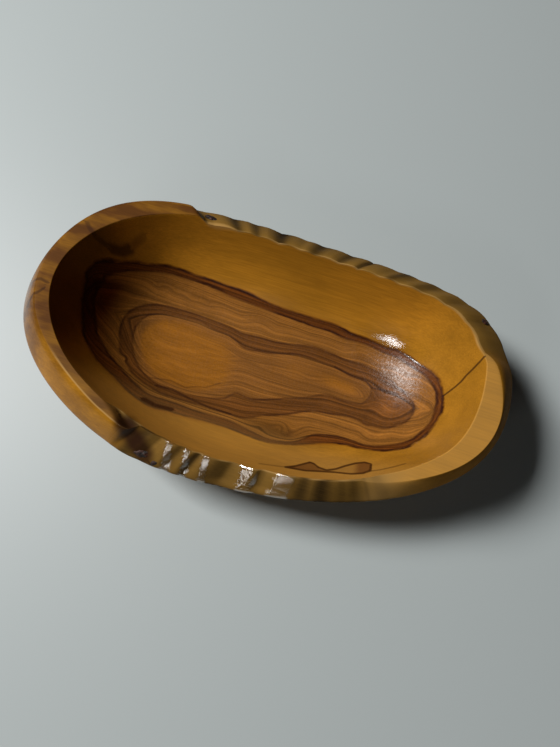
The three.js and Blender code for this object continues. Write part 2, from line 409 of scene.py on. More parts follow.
@dataclass
class BowlShape:
    """The carved form of the bowl, in millimetres, with section angles in degrees."""

    length: float = 248.0
    width: float = 138.0
    height: float = 55.0
    floor_thickness: float = 11.0
    foot_length: float = 142.0
    foot_width: float = 66.0
    rim_left: float = 17.0
    rim_right: float = 17.5
    rim_rear: float = 12.0
    rim_front: float = 12.0
    corners: tuple[CornerSwell, ...] = (CornerSwell(2.6, 240.0, 18.0), CornerSwell(3.0, 322.0, 13.0))
    shoulder_left: float = 8.0
    shoulder_left_swell: float = 5.5
    shoulder_left_skew: float = 3.0
    shoulder_right_front: float = 3.6
    shoulder_right_rear: float = 7.0
    shoulder_drop_end: float = 13.0
    shoulder_drop_rear: float = 10.5
    shoulder_drop_front: float = 8.0
    eased_edge: float = 0.8
    rear_skin: Span = (17.0, 115.0)
    front_skin: Span = (252.0, 317.0)
    left_junction: float = 2.5
    front_junction: float = 7.0
    right_junction: float = 12.0
    junction_slant: float = 11.0
    junction_slant_span: float = 18.0
    right_flat_from: float = 308.0
    left_flat_swell: float = 0.12
    right_flat_swell: float = 0.6
    skin_step: float = 4.0
    rear_sag: float = 2.0
    front_sag: float = 3.0
    sag_skew: float = 1.4
    floor_centre: Point = (0.0, 3.0)
    hollow_power_side: float = 3.4
    hollow_power_end: float = 6.0
    wall_power: float = 1.8
    shoulder_power: float = 1.3
    outline: OvalPlan = field(init=False)
    mouth: OvalPlan = field(init=False)

    def __post_init__(self) -> None:
        """Work out the two ovals that leave the long sides their widths."""
        rear, front = np.array(90.0), np.array(270.0)
        half, middle = self.foot_width / 2, self.floor_centre[1]
        spread = self.width / 2 - half
        carved = [half + spread / float(self.wall_share(self.edge_height(turn))) for turn in (rear, front)]
        self.outline = OvalPlan(
            self.length / 2, self.length / 2, carved[0], carved[1], fullness=0.105, fuller_rear=0.122,
            fuller_right=0.051, front_lean=-15.0, left_shift=1.6, right_shift=10.6,
        )
        sides = ((self.rim_rear, -middle, rear), (self.rim_front, middle, front))
        reach = [
            (self.width / 2 - rim + shift)
            / float(self.hollow_share(self.mouth_height(turn), self.hollow_power_side))
            for rim, shift, turn in sides
        ]
        self.mouth = OvalPlan(
            self.length / 2 - self.rim_left, self.length / 2 - self.rim_right,
            reach[0] + middle, reach[1] - middle, fullness=0.108, fuller_rear=0.049,
            fuller_right=0.116, front_lean=-8.5, left_shift=5.3, right_shift=10.4,
        )

    def skin_share(self, turn: np.ndarray) -> np.ndarray:
        """How far the rim is the log's skin.

        Args:
            turn: Section angles.

        Returns:
            One where the rim is the skin, zero where it is planed flat.
        """
        left, right, cut = self.left_junction / 2, self.right_junction / 2, self.front_junction / 2
        (rear_start, rear_end), (front_start, front_end) = self.rear_skin, self.front_skin
        rear = smoothstep(turn, rear_start - right, rear_start + right)
        rear = rear * smoothstep(turn, rear_end + left, rear_end - left)
        front = smoothstep(turn, front_start - cut, front_start + cut)
        front = front * smoothstep(turn, front_end + right, front_end - right)
        return rear + front

    def mouth_height(self, turn: np.ndarray) -> np.ndarray:
        """Height of the mouth: level at the flats, and sagging along the skin.

        Args:
            turn: Section angles.

        Returns:
            The heights.
        """
        rear = np.clip((turn - self.rear_skin[0]) / (self.rear_skin[1] - self.rear_skin[0]), 0, 1)
        front = np.clip((self.front_skin[1] - turn) / (self.front_skin[1] - self.front_skin[0]), 0, 1)
        sag = self.rear_sag * np.sin(np.pi * rear ** self.sag_skew) ** 2
        sag = sag + self.front_sag * np.sin(np.pi * front ** self.sag_skew) ** 2
        return self.height - self.skin_step * self.skin_share(turn) - sag

    def mouth_turn(self, turn: np.ndarray) -> np.ndarray:
        """Section angle whose height the mouth has: the front skin's first end is cut at a slant."""
        away = (turn - self.front_skin[0] + self.junction_slant / 2) / self.junction_slant_span
        return turn + self.junction_slant * np.exp(-away * away)

    def edge_height(self, turn: np.ndarray) -> np.ndarray:
        """Height of the widest line, where the shoulder or the skin meets the wall.

        Args:
            turn: Section angles.

        Returns:
            The heights.
        """
        side = np.where(turn < 180, self.shoulder_drop_rear, self.shoulder_drop_front)
        drop = self.shoulder_drop_end + (side - self.shoulder_drop_end) * self.skin_share(turn)
        return self.mouth_height(turn) - drop

    def wall_share(self, height: np.ndarray) -> np.ndarray:
        """Share of the way from the foot out to the top of the wall, at a height."""
        return (height / (self.height - self.shoulder_drop_end)) ** (1 / self.wall_power)

    def hollow_share(self, height: np.ndarray, power: np.ndarray) -> np.ndarray:
        """Share of the way from the middle of the floor out to the mouth, at a height."""
        depth = self.height - self.floor_thickness
        return (np.maximum(height - self.floor_thickness, 0) / depth) ** (1 / power)

    def hollow_power(self, turn: np.ndarray) -> np.ndarray:
        """Power of the hollow's curve, higher at the ends, where its walls are steeper."""
        along = np.cos(np.radians(turn)) ** 2
        return self.hollow_power_side + (self.hollow_power_end - self.hollow_power_side) * along

    def foot_plan(self, turn: np.ndarray) -> np.ndarray:
        """Edge of the flat foot in plan."""
        c, s = np.cos(np.radians(turn)), np.sin(np.radians(turn))
        return np.stack([self.foot_length / 2 * c, self.foot_width / 2 * s], -1)

    def wall_plan(self, turn: np.ndarray, height: np.ndarray) -> np.ndarray:
        """The carved wall in plan, at a height."""
        foot = self.foot_plan(turn)
        return foot + (self.outline.at(turn) - foot) * self.wall_share(height)[..., None]

    def mouth_plan(self, turn: np.ndarray) -> np.ndarray:
        """The mouth at the level of the flats, drawn in where the rim is wider.

        Args:
            turn: Section angles.

        Returns:
            Its plan places.
        """
        centre = np.array(self.floor_centre)
        reach = self.mouth.at(turn) - centre
        drawn_in = sum(c.swell * np.exp(-((turn - c.turn) / c.span) ** 2) for c in self.corners)
        return centre + reach * (1 - drawn_in / np.linalg.norm(reach, axis=-1))[..., None]

    def hollow_plan(self, turn: np.ndarray, height: np.ndarray) -> np.ndarray:
        """The hollow in plan.

        Args:
            turn: Section angles.
            height: Heights.

        Returns:
            Its plan places.
        """
        centre = np.array(self.floor_centre)
        share = self.hollow_share(height, self.hollow_power(turn))
        return centre + (self.mouth_plan(turn) - centre) * share[..., None]

    def flat_width(self, turn: np.ndarray, rim: np.ndarray) -> np.ndarray:
        """Width of the planed flat: it swells from each junction to the middle of its end.

        Args:
            turn: Section angles.
            rim: Width of the whole rim there.

        Returns:
            The width of the flat.
        """
        along_left = np.clip((turn - self.rear_skin[1]) / (self.front_skin[0] - self.rear_skin[1]), 0, 1)
        span = 360 + self.rear_skin[0] - self.right_flat_from
        along_right = np.clip(np.mod(turn - self.right_flat_from, 360) / span, 0, 1)
        bulge = np.sin(np.pi * along_left ** self.shoulder_left_skew)
        left_shoulder = self.shoulder_left + self.shoulder_left_swell * bulge
        widening = self.shoulder_right_rear - self.shoulder_right_front
        right_shoulder = self.shoulder_right_front + widening * along_right
        left = np.abs(np.sin(np.pi * along_left)) ** self.left_flat_swell * (along_left % 1 > 0)
        right = np.abs(np.sin(np.pi * along_right)) ** self.right_flat_swell * (along_right % 1 > 0)
        room = rim - self.eased_edge
        return left * (room - left_shoulder) + right * (room - right_shoulder)

    def rim_lines(self, turn: np.ndarray, relief: np.ndarray) -> RimLines:
        """The lines that the sections pass through on the rim.

        Args:
            turn: Section angles.
            relief: Depth of the skin's grooves at those angles.

        Returns:
            The widest line, the ridge and the mouth, and their heights.
        """
        lead = self.mouth_turn(turn)
        brim = self.mouth_height(lead) - self.skin_share(lead) * relief
        edge = self.edge_height(turn)
        widest = self.wall_plan(turn, edge)
        mouth = self.hollow_plan(turn, brim)
        rim = np.linalg.norm(widest - mouth, axis=-1)
        land = (self.eased_edge + self.flat_width(turn, rim)) / rim
        ridge = mouth + (widest - mouth) * land[..., None]
        worn = self.skin_share(turn) * relief
        return RimLines(widest, ridge, mouth, self.mouth_height(turn), edge, brim, worn)


class WoodFigure:
    """The rings of the log where the hollow cuts them, as levels that rise towards the core.

    The lines are plan places in millimetres that the eye follows on the floor and the walls.
    """

    HEARTWOOD_EDGE: list[Point] = [
        (-97, 20), (-90, 25.4), (-82, 30.2), (-72, 34), (-62, 36.6), (-51, 37.4), (-28, 37.6),
        (-16, 36.8), (-4, 35.7), (8, 35.4), (31, 35.7), (40, 34), (52, 33.7), (62, 32.3), (69, 32),
        (80, 26.6), (86, 23.8), (90, 19.8), (92.3, 15), (94, 9), (94.3, 4), (93.9, -1), (92.7, -6),
        (90, -11.6), (86.5, -16.4), (82.5, -20.5), (76, -23.3), (68, -25.6), (55, -25.8), (47.5, -27.6),
        (38, -31.5), (28, -35.3), (18, -37.7), (7, -37.4), (-4, -36.9), (-15, -37.5), (-25, -38.5),
        (-35, -39.4), (-42, -41), (-53, -38.5), (-66, -33.1), (-77.5, -27.7), (-83.3, -23), (-88, -18),
        (-93, -10), (-97.3, -0.4), (-99, 14.7),
    ]
    SECOND_RING: list[Point] = [
        (-91.3, 19.3), (-87, 23.7), (-79, 28.7), (-68, 33.4), (-59, 34.7), (-51, 35.3), (-39, 35.3),
        (-27, 34.3), (-9, 33.3), (5, 32.3), (18, 32.1), (26, 32.3), (38, 31.5), (50, 31.7), (62, 29.8),
        (70, 28.3), (84, 21.6), (88, 17.6), (91, 12.2), (92.4, 6.9), (92.7, 1.3), (91.4, -5),
        (88, -11.3), (83.6, -16.2), (78, -19.9), (71.6, -22.4), (64.6, -23.8), (52.5, -22.6),
        (44, -23.8), (37.7, -26), (33, -30.4), (28, -34), (18, -36.3), (6.3, -35), (-5.5, -33.2),
        (-16, -33.6), (-27.4, -33.6), (-38.5, -33.6), (-48.5, -34.4), (-54.7, -32.4), (-61.5, -29.3),
        (-75, -22), (-85, -14), (-91, -4), (-94.5, 6),
    ]
    BAND_EDGE: list[Point] = [
        (-60, 18), (-42, 19.3), (-25, 18.2), (-18, 16.8), (-5, 17.3), (6, 18), (21, 21.6), (31, 21.3),
        (42, 20.1), (53, 20), (65, 17.5), (73, 13.2), (79.5, 8.6), (82.6, 4.6), (83.3, 0.8), (82, -3.2),
        (78, -7.3), (72.3, -11), (65.6, -10.9), (62.8, -11.7), (59.3, -10.5), (53.6, -9.6), (43, -11),
        (32.4, -13.1), (18, -20.1), (8, -24.5), (1, -28.6), (-10, -29.2), (-30, -30.4), (-48, -30.6),
        (-63, -25.5), (-74, -15.5), (-79, -4), (-79, 6), (-72, 14),
    ]
    INNER_LOOP: list[Point] = [
        (-73, 1.8), (-72, 6), (-68.7, 9.6), (-64, 12.8), (-59, 14.5), (-53.4, 15.3), (-42, 16.2),
        (-32.3, 14.6), (-23, 13.9), (-14, 9.7), (-9.7, 9.5), (1.5, 11), (12, 14), (20.4, 15.4),
        (38, 14.7), (47, 12.8), (56.3, 12.1), (60.5, 8.8), (60.5, 3), (57.8, -1), (48.7, -2.1),
        (37.5, -2.2), (27.7, -7.2), (12.5, -13), (0, -17.2), (-9, -17.2), (-14, -22), (-31, -26.6),
        (-48, -26.6), (-55, -24.6), (-59.2, -22.5), (-64.3, -18.8), (-68.3, -13.9), (-71.8, -7.5),
    ]
    CORE_EDGE: list[Point] = [
        (-66, 2), (-58, 9), (-46, 9.6), (-41.6, 7.7), (-33.2, 4.4), (-26.6, -0.8), (-21.3, -7),
        (-20.4, -12.7), (-26, -18), (-35, -21.6), (-44.3, -21), (-55, -18), (-63, -11), (-66.5, -4),
    ]
    EYE_RING: list[Point] = [(63, 0.4), (66, 5), (71, 6.8), (76.5, 4), (78, -1), (74.5, -6), (68, -6.2)]
    INNER_GROWTH: list[Point] = [(-12, -4), (0, -2), (12, 1), (26, 4)]
    PALE_PATCH: list[Point] = [(40, 6), (50, 6)]
    EYE: Point = (70.5, 0.3)
    CORES: list[Point] = [(-52, -4), (-42, -8)]
    BETWEEN: list[Point] = [
        (-70, 26), (-60, 25.5), (-50, 26.5), (-40, 27), (-20, 26), (0, 25.5), (20, 27), (40, 26),
        (60, 24.5), (76, 18.5), (87.5, 9.5), (87.5, 1), (86, -8), (76, -15), (60, -17.5), (46, -17),
        (32, -21.5), (20, -28), (10, -30.5), (-70, -19.5), (-82, -9), (-86, 4), (-80, 18),
    ]
    RINGS: list[tuple[float, list[Point]]] = [
        (0.0, HEARTWOOD_EDGE), (1.0, SECOND_RING), (2.0, BAND_EDGE), (3.0, INNER_LOOP), (3.9, CORE_EDGE),
        (2.6, EYE_RING),
    ]
    SPOTS: list[tuple[float, list[Point]]] = [
        (3.5, INNER_GROWTH), (3.8, PALE_PATCH), (2.75, [EYE]), (4.4, CORES), (1.5, BETWEEN),
    ]
    SAPWOOD_STEPS = 24
    SAPWOOD_LEVEL = -5.0
    PITCH = 4.0
    STIFFNESS = 3.0
    CHUNK = 8000
    SLOPE_STEP = 0.4

    def __init__(self, mouth: np.ndarray) -> None:
        """Lay a thin plate through the lines.

        Args:
            mouth: Places on the mouth of the hollow, which is in the sapwood all round.
        """
        rings = [(level, smooth_loop(line, self.PITCH)) for level, line in self.RINGS]
        rings += [(level, np.array(line, float)) for level, line in self.SPOTS]
        rings.append((self.SAPWOOD_LEVEL, mouth))
        self.places = np.vstack([line for _, line in rings])
        values = np.concatenate([np.full(len(line), level) for level, line in rings])
        count = len(self.places)
        flat = np.hstack([np.ones((count, 1)), self.places])
        plate = np.zeros((count + 3, count + 3))
        plate[:count, :count] = self.bend(self.places) + self.STIFFNESS * np.eye(count)
        plate[:count, count:] = flat
        plate[count:, :count] = flat.T
        self.weights = np.linalg.solve(plate, np.concatenate([values, np.zeros(3)]))

    def bend(self, plan: np.ndarray) -> np.ndarray:
        """Bending of the plate at some places for a push at each of its own."""
        gap = np.linalg.norm(plan[:, None, :] - self.places[None, :, :], axis=-1)
        return gap ** 2 * np.log(np.maximum(gap, 1e-9))

    def level(self, plan: np.ndarray) -> np.ndarray:
        """Ring level at each place in plan.

        Args:
            plan: Places, one row each.

        Returns:
            The levels: below zero in the sapwood, above it in the heartwood.
        """
        parts = np.array_split(plan, max(1, len(plan) // self.CHUNK))
        bent = np.concatenate([self.bend(part) @ self.weights[:-3] for part in parts])
        return bent + np.hstack([np.ones((len(plan), 1)), plan]) @ self.weights[-3:]

    def pitch(self, plan: np.ndarray, level: np.ndarray) -> np.ndarray:
        """Millimetres from one ring level to the next.

        Args:
            plan: Places, one row each.
            level: Levels at them.

        Returns:
            The pitch at each place.
        """
        along = self.level(plan + np.array([self.SLOPE_STEP, 0])) - level
        across = self.level(plan + np.array([0, self.SLOPE_STEP])) - level
        return self.SLOPE_STEP / np.maximum(np.hypot(along, across), 1e-3)


@dataclass
class LogSkin:
    """Relief, stains, painted shade and glossy oil of the log's skin on the two natural edges, in
    millimetres.
    """

    front_grooves: tuple[Groove, ...] = (
        Groove(-29, 1.1, 4, 8), Groove(-18, 1.1, 3, 6), Groove(-9.5, 1.2, 3, 7), Groove(7, 1.9, 8, 13),
        Groove(22.5, 1.7, 3.5, 14), Groove(42, 0.4, 4, 5), Groove(50, 0.4, 4, 5), Groove(57, 0.2, 3, 3),
        Groove(62, 0.3, 3, 4), Groove(68, 0.5, 1.5, 2), Groove(75, 0.3, 3, 5),
    )
    rear_grooves: tuple[Groove, ...] = (
        Groove(-44, 0.5, 5, 6), Groove(-31, 0.9, 5, 6), Groove(-21, 0.6, 4, 5), Groove(-9, 1.1, 6, 6),
        Groove(3, 0.5, 4, 5), Groove(11, 0.8, 5, 6), Groove(25, 0.9, 6, 5), Groove(35, 0.9, 2, 3),
        Groove(47, 0.7, 5, 6), Groove(58, 0.9, 5, 6), Groove(70, 0.8, 6, 6), Groove(82, 0.9, 6, 5),
        Groove(94, 0.7, 5, 5),
    )
    front_stains: tuple[Stain, ...] = (
        Stain(-44, 7, 0.6), Stain(-36, 5, 0.6), Stain(-18, 3, 0.4), Stain(-9.8, 2, 0.7), Stain(3, 7, 0.5),
        Stain(23.5, 1.5, 0.3), Stain(42, 4, 0.65), Stain(50, 5, 0.75), Stain(58, 3, 0.5), Stain(63, 3, 0.55),
        Stain(68, 1.2, 0.4), Stain(73, 3, 0.35),
    )
    rear_stains: tuple[Stain, ...] = (
        Stain(-52, 4, 1.0), Stain(-31, 3, 0.7), Stain(-21, 2.5, 0.6), Stain(-8, 4, 0.8), Stain(11, 4, 0.65),
        Stain(25, 3, 0.6), Stain(35, 1.6, 0.7), Stain(52, 3, 0.65), Stain(66, 4, 0.5), Stain(82, 5, 0.25),
        Stain(94, 4, 0.2), Stain(104, 3, 0.3),
    )
    oil_runs: tuple[OilRun, ...] = (
        OilRun(-25, -21.8), OilRun(-15.8, -13.4), OilRun(-7, -4), OilRun(11.5, 18.8), OilRun(27, 35.5, 3),
    )
    oil_fade: float = 0.8
    groove_power: float = 1.3
    fine_depth: float = 0.1
    fine_pitch: float = 2.6
    front_shade: float = 0.07
    rear_shade: float = 0.35
    rear_shade_loss: float = 0.3
    rear_shade_end: Span = (50.0, 80.0)

    def depth(self, plan: np.ndarray) -> np.ndarray:
        """Depth of the grooves at places in plan.

        Args:
            plan: Places, with x and y in the last axis.

        Returns:
            The depth below the crests.
        """
        x, y = plan[..., 0], plan[..., 1]
        total = np.zeros(x.shape)
        for grooves, side in ((self.front_grooves, y < 0), (self.rear_grooves, y >= 0)):
            for groove in grooves:
                run = np.where(x < groove.place, groove.left_run, groove.right_run)
                away = np.clip(np.abs(x - groove.place) / run, 0, 1)
                total = total + side * groove.depth * (1 - away) ** self.groove_power
        wave = np.sin(2 * np.pi * x / self.fine_pitch + 3 * np.sin(x / 7))
        return total + self.fine_depth * (1 + wave) / 2

    def oil(self, x: np.ndarray, across: np.ndarray) -> np.ndarray:
        """Share of glossy oil on the front edge.

        Args:
            x: Places along the log.
            across: Share of the way out across the edge.

        Returns:
            One in a glossy run, and zero outside it.
        """
        total = np.zeros(x.shape)
        for run in self.oil_runs:
            along = x + run.lean * (across - 0.5)
            begun = smoothstep(along, run.start - self.oil_fade, run.start)
            total = total + begun * smoothstep(along, run.end + self.oil_fade, run.end)
        return total

    def stain(self, plan: np.ndarray, x: np.ndarray, across: np.ndarray, rear: np.ndarray) -> np.ndarray:
        """Strength of the stains on the edges, with painted shade towards the outer side of the rear edge.

        Args:
            plan: Places of the mouth, one per section angle.
            x: Places along the log, by step and section angle.
            across: Share of the way out across the edge.
            rear: True on the rear half of the bowl.

        Returns:
            The strength, from zero to one.
        """
        total = np.zeros(plan.shape[:-1])
        for stains, side in ((self.front_stains, plan[..., 1] < 0), (self.rear_stains, plan[..., 1] >= 0)):
            for stain in stains:
                spread = np.exp(-((plan[..., 0] - stain.place) / stain.half_width) ** 2)
                total = np.maximum(total, side * stain.strength * spread)
        # Painted shade: the rear edge darker towards its outer side, less so towards the right end
        shade = self.rear_shade - self.rear_shade_loss * smoothstep(x, *self.rear_shade_end)
        return np.clip(total + shade * rear * across ** 2 + self.front_shade * ~rear, 0, 1)


@dataclass(frozen=True)
class WoodNodes:
    """What the parts of the wood's material share."""

    add: Callable[..., Socket]
    read: dict[str, Socket]
    place: Socket
    fibres: Socket
    blotches: Socket
    rings: Socket
    heart: Socket


@dataclass(frozen=True)
class OliveWood:
    """Olive wood, carved, sanded and oiled, with sizes in millimetres.

    Golden sapwood and red-brown heartwood with dark ring lines and fine fibres along the log. The oil
    gives it depth and a soft gloss, broken up by the open pores of the heartwood. Where the log's own
    skin is left, it is golden brown with olive stains, and glossier.
    """

    sapwood: str = "#9A681A"
    sapwood_edge: str = "#8C5612"
    ring_line: str = "#2E1207"
    brown: str = "#673810"
    tan: str = "#8C5A22"
    band: str = "#6C4118"
    inner: str = "#875622"
    core: str = "#905A18"
    rim_brown: str = "#6A4016"
    skin_gold: str = "#86632B"
    skin_stain: str = "#1E150A"
    # Pale colour of the lip, also used for painted highlights, sheen and light
    lip_and_sheen: str = "#B98F52"
    lens: str = "#5E3418"
    mark: str = "#2A120A"
    fibre: Triple = (26.0, 0.7, 0.7)
    blotch: Triple = (24.0, 7.0, 7.0)
    ring_wander: float = 2.2
    streak_run: float = 90.0
    streak_width: float = 2.2
    streaks_per_ring: float = 5.0
    core_line: float = 3.0
    pore: float = 1.2
    relief: float = 0.2
    line_half_width: float = 0.42
    line_fade: float = 0.7
    ramp: Span = (-2.0, 6.0)
    streak_gain: Span = (0.42, 1.3)
    core_streaks: Span = (1.0, 0.3)
    fibre_gain: Span = (0.85, 1.15)
    blotch_gain: Span = (0.88, 1.12)
    brown_gain: Span = (1.4, 0.4)
    line_gain: Span = (0.35, 1.0)
    pore_gain: Span = (0.5, 1.7)
    oil_ribs: Span = (0.5, 1.1)
    plain_ribs: float = 0.22
    ior: float = 1.5
    roughness: float = 0.2
    pore_roughness: float = 0.33
    dull_roughness: float = 0.4
    coat_roughness: float = 0.055
    coat_ior: float = 3.6

    def stop(self, level: float) -> float:
        """Place of a ring level on the colour ramps."""
        return (level - self.ramp[0]) / (self.ramp[1] - self.ramp[0])

    def ring_stops(self) -> Stops:
        """Colours across the rings, by the level's place on the ramp."""
        tones = [
            (-2.0, self.sapwood), (-0.5, self.sapwood), (-0.05, self.sapwood_edge), (0.05, self.brown),
            (0.9, self.brown), (1.1, self.tan), (1.85, self.tan), (2.1, self.band), (2.85, self.band),
            (3.1, self.inner), (3.5, self.inner), (3.85, self.core), (5.0, self.core),
        ]
        return [(self.stop(level), linear(colour)) for level, colour in tones]

    def line_stops(self) -> Stops:
        """How dark the line at each ring is, by the level's place on the ramp."""
        shares = [(-2.0, 0.0), (-0.5, 1.0), (0.5, 0.95), (1.5, 0.7), (2.5, 0.75), (3.5, 0.0)]
        return [(self.stop(level), (dark, dark, dark, 1.0)) for level, dark in shares]

    def gain(self, nodes: WoodNodes) -> Socket:
        """How bright the grain and the tone layer, with its painted light and shade, make the wood.

        Args:
            nodes: Shared nodes.

        Returns:
            The brightness of the streaks along the rings, the fibres, the blotches and the bowl's tone
            layer, which holds painted light and shade besides other lighter and darker places.
        """
        add, read = nodes.add, nodes.read
        away = add("Mapping", {"Vector": nodes.place, "Scale": (1 / (self.streak_run * MM),) * 3})
        across = add("SeparateXYZ", (nodes.place,), output="Y")
        off_core = add("Math", (across, self.core_line * MM), operation="SUBTRACT")
        out = add("Math", (off_core,), operation="ABSOLUTE")
        even = add("Math", (out, -self.streak_width * MM), operation="DIVIDE")
        apart = add("Math", (read["figure"], self.streaks_per_ring, even), operation="MULTIPLY_ADD")
        streak_place = add("VectorMath", (away, add("CombineXYZ", (apart,))), operation="ADD")
        streaks = add("TexNoise", (streak_place, 1.0, 5.0, 0.7))
        core = add("MapRange", (nodes.rings, 3.2, 3.9, *self.core_streaks))
        streaky = add("Math", (nodes.heart, core), operation="MULTIPLY")
        gain = add("Mix", (streaky, 1.0, add("MapRange", (streaks, 0.34, 0.66, *self.streak_gain))))
        fine = add("MapRange", (nodes.fibres, 0.3, 0.7, *self.fibre_gain))
        broad = add("MapRange", (nodes.blotches, 0.3, 0.7, *self.blotch_gain))
        # The tone layer brings in painted light and shade as well
        for other in (fine, broad, read["tone"]):
            gain = add("Math", (gain, other), operation="MULTIPLY")
        return gain

    def ringed(self, nodes: WoodNodes) -> Socket:
        """Colour of the wood across its rings, with a dark line of even width at each.

        Args:
            nodes: Shared nodes.

        Returns:
            The colour.
        """
        add, read = nodes.add, nodes.read
        share = add("MapRange", (nodes.rings, *self.ramp))
        tone = add("ValToRGB", (share,), stops=self.ring_stops())
        browned = add("MapRange", (nodes.blotches, 0.35, 0.65, *self.brown_gain))
        brown_share = add("Math", (browned, read["brown"]), operation="MULTIPLY", use_clamp=True)
        based = add("Mix", (brown_share, tone, linear(self.rim_brown)), data_type="RGBA")
        grained = add("Mix", (1.0, based, self.gain(nodes)), data_type="RGBA", blend_type="MULTIPLY")

        ring = add("Math", (nodes.rings,), operation="ROUND")
        past = add("Math", (nodes.rings, ring), operation="SUBTRACT")
        gap = add("Math", (add("Math", (past, read["pitch"]), operation="MULTIPLY"),), operation="ABSOLUTE")
        solid, gone = self.line_half_width - self.line_fade / 2, self.line_half_width + self.line_fade
        inked = add("MapRange", (gap, solid, gone, 1.0, 0.0), interpolation_type="SMOOTHSTEP")
        line_share = add("ValToRGB", (share,), stops=self.line_stops())
        line_share.node.color_ramp.interpolation = "CONSTANT"
        come_go = add("MapRange", (nodes.blotches, 0.35, 0.6, *self.line_gain))
        line_dark = add("Math", (line_share, come_go), operation="MULTIPLY")
        ink = add("Math", (inked, line_dark), operation="MULTIPLY")
        return add("Mix", (ink, grained, linear(self.ring_line)), data_type="RGBA")

    def edged(self, nodes: WoodNodes, wood: Socket) -> Socket:
        """Colour with the natural edge: golden brown, with olive stains and painted shade across it, and a
        pale lip whose colour also paints highlights, sheen and light.

        Args:
            nodes: Shared nodes.
            wood: Colour of the wood.

        Returns:
            The colour.
        """
        add, read = nodes.add, nodes.read
        stained = add("Math", (nodes.fibres, 0.3, read["stain"]), operation="MULTIPLY_ADD")
        stain_share = add("MapRange", (stained, 0.12, 1.1))
        skin = add("Mix", (stain_share, linear(self.skin_gold), linear(self.skin_stain)), data_type="RGBA")
        edged = add("Mix", (read["skin"], wood, skin), data_type="RGBA")
        # The lip's pale colour here also paints highlights, sheen and light
        return add("Mix", (read["lip_and_sheen"], edged, linear(self.lip_and_sheen)), data_type="RGBA")

    def marked(self, nodes: WoodNodes, wood: Socket) -> Socket:
        """Colour with the dark lens near the front, the check crack and the single dark lines.

        Args:
            nodes: Shared nodes.
            wood: Colour of the wood.

        Returns:
            The colour.
        """
        add, read = nodes.add, nodes.read
        filled = add("Mix", (read["lens_fill"], wood, linear(self.lens)), data_type="RGBA")
        beside_lens = add("Math", (read["lens"],), operation="ABSOLUTE")
        lens_line = add("MapRange", (beside_lens, 0.25, 0.8, 0.85, 0.0), interpolation_type="SMOOTHSTEP")
        lensed = add("Mix", (lens_line, filled, linear(self.ring_line)), data_type="RGBA")
        beside = add("Math", (read["line_side"],), operation="ABSOLUTE")
        ended = add("Math", (read["line_near"], 0.7), operation="SUBTRACT")
        off = add("Math", (beside, ended), operation="MAXIMUM")
        on_line = add("MapRange", (off, 0.4, 1.4, 1.0, 0.0), interpolation_type="SMOOTHSTEP")
        dark = add("Math", (on_line, read["line_dark"]), operation="MULTIPLY")
        return add("Mix", (dark, lensed, linear(self.mark)), data_type="RGBA")

    def surface(self, nodes: WoodNodes) -> dict[str, Socket]:
        """Roughness, relief and gloss, which the open pores of the heartwood break up.

        Args:
            nodes: Shared nodes.

        Returns:
            Sockets by the shader's inputs.
        """
        add, read = nodes.add, nodes.read
        pores = add("TexNoise", (nodes.place, 1 / (self.pore * MM), 3.0, 0.7))
        rough = add("Mix", (nodes.heart, self.roughness, self.pore_roughness))
        dull = add("MapRange", (read["gloss"], 0.05, 0.2, self.dull_roughness, 0.0))
        pitted = add("Math", (pores, nodes.heart), operation="MULTIPLY")
        ribs = add("MapRange", (read["skin"], 0.0, 1.0, *self.oil_ribs))
        ribbed = add("Mix", (read["varnish"], self.plain_ribs, ribs))
        height = add("Math", (nodes.fibres, ribbed, pitted), operation="MULTIPLY_ADD")
        bump = add("Bump", {"Height": height, "Strength": 0.8, "Distance": self.relief * MM})
        sparkle = add("MapRange", (pores, 0.4, 0.62, *self.pore_gain))
        broken = add("Mix", (nodes.heart, 1.0, sparkle))
        return {
            "Roughness": add("Math", (rough, dull), operation="ADD"),
            "Normal": bump,
            "Coat Normal": bump,
            "Coat Weight": read["varnish"],
            "Specular IOR Level": add("Math", (read["gloss"], broken), operation="MULTIPLY"),
        }

    def material(self) -> bpy.types.Material:
        """Make the wood's material.

        Returns:
            The material, on Object coordinates and the bowl's own layers.
        """
        made, tree, shader = new_material("oiled_olive_wood")
        add = partial(add_node, tree)
        place = add("TexCoord", output="Object")
        read = {name: add("Attribute", attribute_name=name, output="Fac") for name in LAYERS}

        # Fibres and blotches run along the log
        patterns = []
        for size, detail, rough in ((self.fibre, 4.0, 0.6), (self.blotch, 3.0, 0.55)):
            scale = tuple(1 / (side * MM) for side in size)
            stretched = add("Mapping", {"Vector": place, "Scale": scale})
            patterns.append(add("TexNoise", (stretched, 1.0, detail, rough)))
        fibres, blotches = patterns

        # The rings wander a little from their smooth levels
        wander = add("Math", (self.ring_wander, read["pitch"]), operation="DIVIDE")
        shifted = add("Math", (blotches, 0.5), operation="SUBTRACT")
        rings = add("Math", (shifted, wander, read["figure"]), operation="MULTIPLY_ADD")
        heart = add("MapRange", (rings, -0.1, 0.1))
        nodes = WoodNodes(add, read, place, fibres, blotches, rings, heart)
        colour = self.marked(nodes, self.edged(nodes, self.ringed(nodes)))
        set_inputs(tree, shader, {
            "Base Color": colour, **self.surface(nodes), "IOR": self.ior,
            "Coat Roughness": self.coat_roughness, "Coat IOR": self.coat_ior,
        })
        return made


